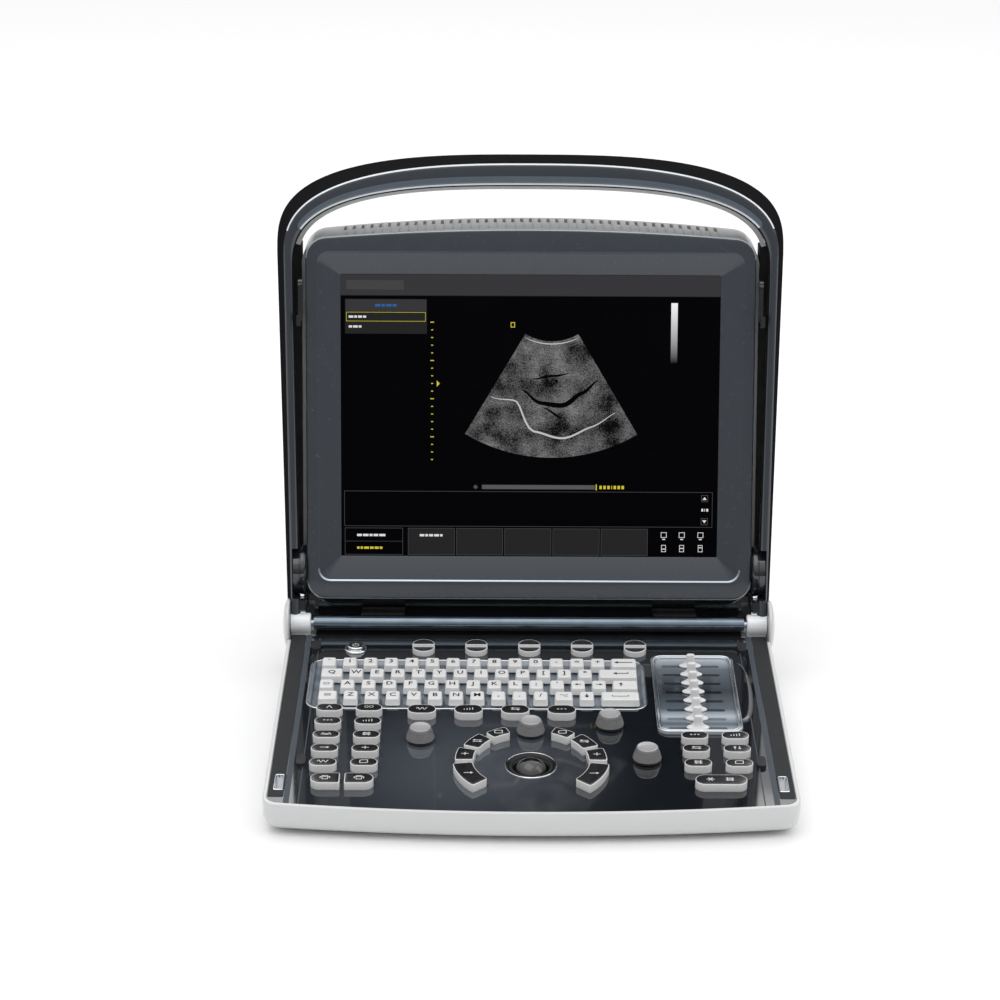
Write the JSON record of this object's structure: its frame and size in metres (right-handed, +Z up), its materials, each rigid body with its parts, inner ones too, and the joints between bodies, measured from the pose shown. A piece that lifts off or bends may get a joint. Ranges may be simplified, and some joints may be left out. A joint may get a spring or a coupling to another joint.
{
  "type": "ultrasound scanner",
  "caption": "Portable clamshell ultrasound unit: upright screen inside a carry-handle arch, hinged to a sloping glossy deck with keyboard, slide controls, knobs and trackball.",
  "frame": {"origin": "centre of the bounding box's base, on the table under the feet", "axes": "+X to the user's right, +Y away from the user, +Z up"},
  "size_m": [0.3343, 0.3466, 0.3347],
  "materials": {
    "white_shell": "satin white plastic",
    "dark_rubber": "matte",
    "steel": "brushed",
    "black_gloss": "mirror gloss",
    "well_gloss": "gloss",
    "black_matte": "matte",
    "chrome": "polished",
    "circuit_board": "solder mask",
    "silicone": "translucent rubber",
    "slate_gloss": "dark slate gloss",
    "screen_glass": "display behind clear cover",
    "barrel_gloss": "mirror gloss",
    "ball_gloss": "polished",
    "key_white": "satin",
    "knob_grey": "knurled grey"
  },
  "bodies": {
    "base": {"base_shell": "white_shell", "base_feet": "dark_rubber", "base_screws": "steel", "deck_bumpers": "dark_rubber", "control_panel": "black_gloss", "keyboard_well": "well_gloss", "slider_tray": "black_gloss", "slide_pots": "black_matte", "chrome_rings": "chrome", "trackball_housing": "black_matte", "knob_encoders": "steel", "control_board": "circuit_board", "switch_domes": "silicone", "hinge_ears": "white_shell", "hinge_shoulders": "chrome", "hinge_shafts": "steel", "latch_catches": "chrome"},
    "lid": {"arch_frame": "slate_gloss", "handle_liner": "white_shell", "rear_housing": "white_shell", "display_bezel": "slate_gloss", "lcd_panel": "screen_glass", "display_back": "black_matte", "hinge_barrel": "barrel_gloss", "hinge_brackets": "steel", "display_hubs": "barrel_gloss", "main_board": "circuit_board", "battery_pack": "black_matte", "battery_door": "white_shell", "fan_housing": "black_matte", "probe_port": "black_matte", "io_ports": "steel", "lid_screws": "steel"},
    "fan_rotor": {"fan_rotor": "black_matte"},
    "knob_1": {"knob_1": "knob_grey"},
    "knob_2": {"knob_2": "knob_grey"},
    "knob_3": {"knob_3": "knob_grey"},
    "knob_4": {"knob_4": "knob_grey"},
    "trackball": {"trackball": "ball_gloss"},
    "slider_1": {"slider_1": "key_white"},
    "slider_2": {"slider_2": "key_white"},
    "slider_3": {"slider_3": "key_white"},
    "slider_4": {"slider_4": "key_white"},
    "slider_5": {"slider_5": "key_white"},
    "slider_6": {"slider_6": "key_white"},
    "slider_7": {"slider_7": "key_white"},
    "slider_8": {"slider_8": "key_white"},
    "key_row_1": {"key_row_1": "key_white"},
    "key_row_2": {"key_row_2": "key_white"},
    "key_row_3": {"key_row_3": "key_white"},
    "key_row_4": {"key_row_4": "key_white"},
    "soft_keys": {"soft_keys": "key_white"},
    "mode_keys": {"mode_keys": "key_white"},
    "left_keys": {"left_keys": "key_white"},
    "right_keys": {"right_keys": "key_white"},
    "freeze_key": {"freeze_key": "key_white"},
    "arc_keys": {"arc_keys": "key_white"},
    "power_button": {"power_button": "black_gloss"},
    "latch_left": {"latch_left": "chrome"},
    "latch_right": {"latch_right": "chrome"}
  },
  "joints": [
    {"name": "lid_hinge", "type": "hinge", "parent": "base", "child": "lid", "pos_m": [0, 0.06137, 0.04107], "axis": [1, 0, 0], "range_deg": [-10, 105.7]},
    {"name": "fan_spin", "type": "hinge", "parent": "lid", "child": "fan_rotor", "pos_m": [0.092, 0.15089, 0.22677], "axis": [0, 0.9792, -0.2028], "continuous": true},
    {"name": "knob_1_turn", "type": "hinge", "parent": "base", "child": "knob_1", "pos_m": [-0.0668, -0.0851, 0.02561], "axis": [0, -0.0698, 0.9976], "continuous": true},
    {"name": "knob_2_turn", "type": "hinge", "parent": "base", "child": "knob_2", "pos_m": [0.0001, -0.07573, 0.02627], "axis": [0, -0.0698, 0.9976], "continuous": true},
    {"name": "knob_3_turn", "type": "hinge", "parent": "base", "child": "knob_3", "pos_m": [0.0486, -0.06655, 0.02691], "axis": [0, -0.0698, 0.9976], "continuous": true},
    {"name": "knob_4_turn", "type": "hinge", "parent": "base", "child": "knob_4", "pos_m": [0.0695, -0.10845, 0.02398], "axis": [0, -0.0698, 0.9976], "continuous": true},
    {"name": "trackball_roll", "type": "hinge", "parent": "base", "child": "trackball", "pos_m": [0, -0.11518, 0.01709], "axis": [1, 0, 0], "continuous": true},
    {"name": "slider_1_slide", "type": "slide", "parent": "base", "child": "slider_1", "axis": [1, 0, 0], "range_m": [-0.0145, 0.0145]},
    {"name": "slider_2_slide", "type": "slide", "parent": "base", "child": "slider_2", "axis": [1, 0, 0], "range_m": [-0.0145, 0.0145]},
    {"name": "slider_3_slide", "type": "slide", "parent": "base", "child": "slider_3", "axis": [1, 0, 0], "range_m": [-0.0145, 0.0145]},
    {"name": "slider_4_slide", "type": "slide", "parent": "base", "child": "slider_4", "axis": [1, 0, 0], "range_m": [-0.0145, 0.0145]},
    {"name": "slider_5_slide", "type": "slide", "parent": "base", "child": "slider_5", "axis": [1, 0, 0], "range_m": [-0.0145, 0.0145]},
    {"name": "slider_6_slide", "type": "slide", "parent": "base", "child": "slider_6", "axis": [1, 0, 0], "range_m": [-0.0145, 0.0145]},
    {"name": "slider_7_slide", "type": "slide", "parent": "base", "child": "slider_7", "axis": [1, 0, 0], "range_m": [-0.0145, 0.0145]},
    {"name": "slider_8_slide", "type": "slide", "parent": "base", "child": "slider_8", "axis": [1, 0, 0], "range_m": [-0.0145, 0.0145]},
    {"name": "key_row_1_press", "type": "slide", "parent": "base", "child": "key_row_1", "axis": [0, 0.0698, -0.9976], "range_m": [0, 0.0012], "stiffness_N_per_m": 400, "springref_m": -0.001},
    {"name": "key_row_2_press", "type": "slide", "parent": "base", "child": "key_row_2", "axis": [0, 0.0698, -0.9976], "range_m": [0, 0.0012], "stiffness_N_per_m": 400, "springref_m": -0.001},
    {"name": "key_row_3_press", "type": "slide", "parent": "base", "child": "key_row_3", "axis": [0, 0.0698, -0.9976], "range_m": [0, 0.0012], "stiffness_N_per_m": 400, "springref_m": -0.001},
    {"name": "key_row_4_press", "type": "slide", "parent": "base", "child": "key_row_4", "axis": [0, 0.0698, -0.9976], "range_m": [0, 0.0012], "stiffness_N_per_m": 400, "springref_m": -0.001},
    {"name": "soft_keys_press", "type": "slide", "parent": "base", "child": "soft_keys", "axis": [0, 0.0698, -0.9976], "range_m": [0, 0.001], "stiffness_N_per_m": 400, "springref_m": -0.001},
    {"name": "mode_keys_press", "type": "slide", "parent": "base", "child": "mode_keys", "axis": [0, 0.0698, -0.9976], "range_m": [0, 0.001], "stiffness_N_per_m": 400, "springref_m": -0.001},
    {"name": "left_keys_press", "type": "slide", "parent": "base", "child": "left_keys", "axis": [0, 0.0698, -0.9976], "range_m": [0, 0.001], "stiffness_N_per_m": 400, "springref_m": -0.001},
    {"name": "right_keys_press", "type": "slide", "parent": "base", "child": "right_keys", "axis": [0, 0.0698, -0.9976], "range_m": [0, 0.001], "stiffness_N_per_m": 400, "springref_m": -0.001},
    {"name": "freeze_key_press", "type": "slide", "parent": "base", "child": "freeze_key", "axis": [0, 0.0698, -0.9976], "range_m": [0, 0.001], "stiffness_N_per_m": 400, "springref_m": -0.001},
    {"name": "arc_keys_press", "type": "slide", "parent": "base", "child": "arc_keys", "axis": [0, 0.0698, -0.9976], "range_m": [0, 0.001], "stiffness_N_per_m": 400, "springref_m": -0.001},
    {"name": "power_button_press", "type": "slide", "parent": "base", "child": "power_button", "axis": [0, 0.0698, -0.9976], "range_m": [0, 0.001], "stiffness_N_per_m": 400, "springref_m": -0.001},
    {"name": "latch_left_release", "type": "hinge", "parent": "lid", "child": "latch_left", "pos_m": [-0.1487, 0.11423, 0.25683], "axis": [1, 0, 0], "range_deg": [0, 8], "stiffness_Nm_per_rad": 0.05, "springref_deg": -11.46},
    {"name": "latch_right_release", "type": "hinge", "parent": "lid", "child": "latch_right", "pos_m": [0.1487, 0.11423, 0.25683], "axis": [1, 0, 0], "range_deg": [0, 8], "stiffness_Nm_per_rad": 0.05, "springref_deg": -11.46}
  ]
}
